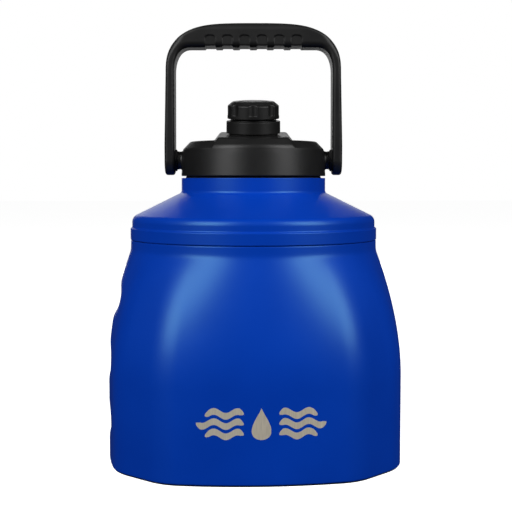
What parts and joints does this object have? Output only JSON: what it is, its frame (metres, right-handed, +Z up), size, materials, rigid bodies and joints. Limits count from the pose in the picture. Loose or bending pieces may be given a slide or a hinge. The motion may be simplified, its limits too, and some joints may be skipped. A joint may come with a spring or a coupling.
{
  "type": "large insulated water jug",
  "caption": "Large double-wall insulated water jug with a soft eight-sided body, a screw lid with a tilted capped spout, and a folding carry handle.",
  "frame": {"origin": "middle of the underside, on the surface the jug stands on", "axes": "+Z up along the jug's axis, the spout leans towards -Y, and the handle's pivots lie along X"},
  "size_m": [0.2012, 0.2012, 0.2979],
  "materials": {
    "blue_coat": "satin powder coat",
    "steel": "brushed",
    "black_plastic": "fine satin texture",
    "black_rubber": "matte",
    "foam": "matte foam"
  },
  "bodies": {
    "vessel": {"outer_shell": "blue_coat", "shoulder_shell": "blue_coat", "inner_vessel": "steel", "shell_bottom": "blue_coat", "vacuum_plug": "steel", "getter": "steel", "base_pad": "black_rubber"},
    "lid_seal": {"lid_gasket": "black_rubber"},
    "lid": {"lid_cover": "black_plastic", "lid_plug": "black_plastic", "lid_foam": "foam", "spout": "black_plastic", "spout_washer": "black_rubber", "spout_collar": "black_plastic", "pivot_washers": "black_rubber", "pivot_screws": "steel"},
    "spout_seal": {"cap_seal": "black_rubber"},
    "cap": {"cap_shell": "black_plastic", "cap_liner": "black_plastic"},
    "handle": {"handle": "black_plastic", "pivot_bushes": "steel", "pivot_caps": "black_plastic"}
  },
  "joints": [
    {"name": "lid_lift", "type": "slide", "parent": "vessel", "child": "lid_seal", "axis": [0, 0, 1], "range_m": [0, 0.01201]},
    {"name": "lid_turn", "type": "hinge", "parent": "lid_seal", "child": "lid", "pos_m": [0, 0, 0.19269], "axis": [0, 0, 1], "range_deg": [0, 540]},
    {"name": "cap_lift", "type": "slide", "parent": "lid", "child": "spout_seal", "axis": [-0.0064, -0.1217, 0.9925], "range_m": [0, 0.00751]},
    {"name": "cap_turn", "type": "hinge", "parent": "spout_seal", "child": "cap", "pos_m": [-0.00105, -0.01997, 0.22059], "axis": [-0.0064, -0.1217, 0.9925], "range_deg": [0, 450]},
    {"name": "handle_fold", "type": "hinge", "parent": "lid", "child": "handle", "pos_m": [0, 0, 0.20359], "axis": [0.9986, -0.0523, 0], "range_deg": [-105, 105]}
  ],
  "couplings": [
    {"joint": "lid_lift", "follows": "lid_turn", "m_per_rad": 0.0012732},
    {"joint": "cap_lift", "follows": "cap_turn", "m_per_rad": 0.00095493}
  ]
}
